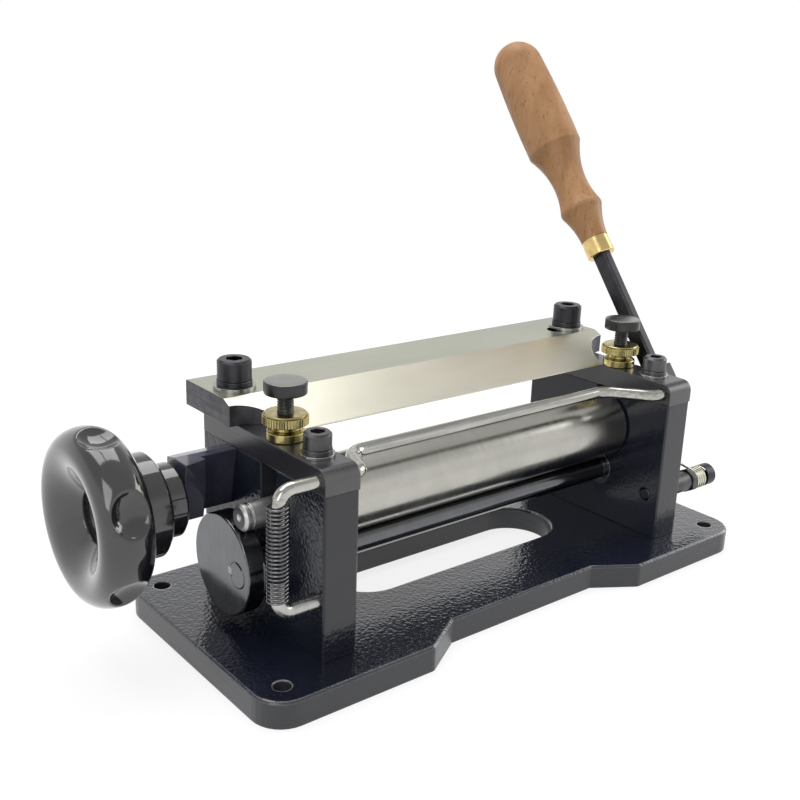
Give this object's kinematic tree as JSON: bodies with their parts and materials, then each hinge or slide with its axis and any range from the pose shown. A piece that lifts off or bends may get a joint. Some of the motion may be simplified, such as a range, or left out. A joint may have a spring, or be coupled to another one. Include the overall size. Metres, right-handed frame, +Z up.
{
  "type": "leather splitting machine",
  "caption": "Bench machine that splits leather: a cam lever raises a steel roller towards a fixed bevelled blade, with stop screws, a sprung guard rod and a clamp handwheel",
  "frame": {"origin": "centre of the base plate's underside, in the middle of the bench bolt holes", "axes": "+X along the roller to the lever's side, +Y away from the user, +Z up"},
  "size_m": [0.2878, 0.1537, 0.2199],
  "materials": {
    "base_paint": "wrinkle black paint",
    "upright_paint": "wrinkle black paint, machined front",
    "cap_black": "satin black",
    "black_screw": "black oxide",
    "bright_washer": "bright zinc",
    "blade_steel": "ground steel",
    "roller_chrome": "polished",
    "bright_steel": "turned steel",
    "dark_steel": "blued steel",
    "brass": "polished",
    "spring_wire": "yellow passivated",
    "gloss_black": "gloss black",
    "wheel_plastic": "polished black",
    "beech": "oiled beech"
  },
  "bodies": {
    "frame": {"base_plate": "base_paint", "upright_screws": "black_screw", "left_upright": "upright_paint", "right_upright": "upright_paint", "left_cap": "cap_black", "right_cap": "cap_black", "cap_screws": "black_screw", "cap_spring_washers": "black_screw", "cap_washers": "bright_washer", "splitting_blade": "blade_steel", "blade_screws": "black_screw", "blade_spring_washers": "black_screw", "blade_washers": "bright_washer", "shaft_bushes": "dark_steel", "stop_post_bolt": "black_screw", "stop_post_nut": "dark_steel", "stop_post_sleeve": "dark_steel", "torsion_spring": "spring_wire", "spring_anchor_rod": "bright_steel", "guard_spring": "black_screw", "clamp_bracket": "gloss_black", "bracket_screws": "black_screw"},
    "lever": {"cam_shaft": "dark_steel", "left_cam": "dark_steel", "right_cam": "dark_steel", "cam_keys": "dark_steel", "cam_set_screw": "bright_steel", "lever_arm": "dark_steel", "arm_spring_pin": "bright_steel", "lever_arm_screw": "dark_steel", "lever_bar": "dark_steel", "handle_ferrule": "brass", "lever_handle": "beech"},
    "axle": {"roller_axle": "bright_steel", "bearing_inner_rings": "bright_steel"},
    "roller": {"roller_tube": "roller_chrome", "bearing_outer_rings": "bright_steel", "bearing_balls": "bright_steel"},
    "guard": {"guard_rod": "bright_steel"},
    "clamp": {"clamp_pad": "brass"},
    "wheel": {"clamp_screw": "bright_steel", "handwheel": "wheel_plastic", "handwheel_collar": "wheel_plastic", "handwheel_cap": "wheel_plastic"},
    "left_pad": {"left_stop_pad": "bright_steel"},
    "left_stop": {"left_stop_screw": "black_screw"},
    "left_nut": {"left_knurled_nut": "brass"},
    "right_pad": {"right_stop_pad": "bright_steel"},
    "right_stop": {"right_stop_screw": "black_screw"},
    "right_nut": {"right_knurled_nut": "brass"}
  },
  "joints": [
    {"name": "lever_turn", "type": "hinge", "parent": "frame", "child": "lever", "pos_m": [0, -0.0055, 0.0332], "axis": [1, 0, 0], "range_deg": [0, 50], "stiffness_Nm_per_rad": 0.15, "springref_deg": -34.38, "deforming": ["torsion_spring"]},
    {"name": "roller_lift", "type": "slide", "parent": "frame", "child": "axle", "axis": [0, 0, 1], "range_m": [0, 0.0104]},
    {"name": "roller_spin", "type": "hinge", "parent": "axle", "child": "roller", "pos_m": [0, -0.0055, 0.05516], "axis": [1, 0, 0], "continuous": true},
    {"name": "guard_rod_lift", "type": "hinge", "parent": "frame", "child": "guard", "pos_m": [0, -0.0364, 0.0768], "axis": [1, 0, 0], "range_deg": [0, 30], "stiffness_Nm_per_rad": 0.03, "springref_deg": -28.65, "deforming": ["guard_spring"]},
    {"name": "clamp_slide", "type": "slide", "parent": "frame", "child": "clamp", "axis": [1, 0, 0], "range_m": [0, 0.0008]},
    {"name": "handwheel_turn", "type": "hinge", "parent": "clamp", "child": "wheel", "pos_m": [-0.14, 0.0195, 0.057], "axis": [1, 0, 0], "range_deg": [0, 230.4]},
    {"name": "left_stop_slide", "type": "slide", "parent": "frame", "child": "left_pad", "axis": [0, 0, 1], "range_m": [0, 0.002]},
    {"name": "left_stop_turn", "type": "hinge", "parent": "left_pad", "child": "left_stop", "pos_m": [-0.08935, -0.0055, 0.09], "axis": [0, 0, 1], "range_deg": [0, 720]},
    {"name": "left_nut_turn", "type": "hinge", "parent": "frame", "child": "left_nut", "pos_m": [-0.08935, -0.0055, 0.086], "axis": [0, 0, 1], "continuous": true},
    {"name": "right_stop_slide", "type": "slide", "parent": "frame", "child": "right_pad", "axis": [0, 0, 1], "range_m": [0, 0.002]},
    {"name": "right_stop_turn", "type": "hinge", "parent": "right_pad", "child": "right_stop", "pos_m": [0.08935, -0.0055, 0.09], "axis": [0, 0, 1], "range_deg": [0, 720]},
    {"name": "right_nut_turn", "type": "hinge", "parent": "frame", "child": "right_nut", "pos_m": [0.08935, -0.0055, 0.086], "axis": [0, 0, 1], "continuous": true}
  ],
  "couplings": [
    {"joint": "roller_lift", "follows": "lever_turn", "m_per_rad": 0.0118},
    {"joint": "handwheel_turn", "follows": "clamp_slide", "rad_per_m": 5026.5},
    {"joint": "left_stop_turn", "follows": "left_stop_slide", "rad_per_m": 6283.1},
    {"joint": "right_stop_turn", "follows": "right_stop_slide", "rad_per_m": 6283.1}
  ]
}
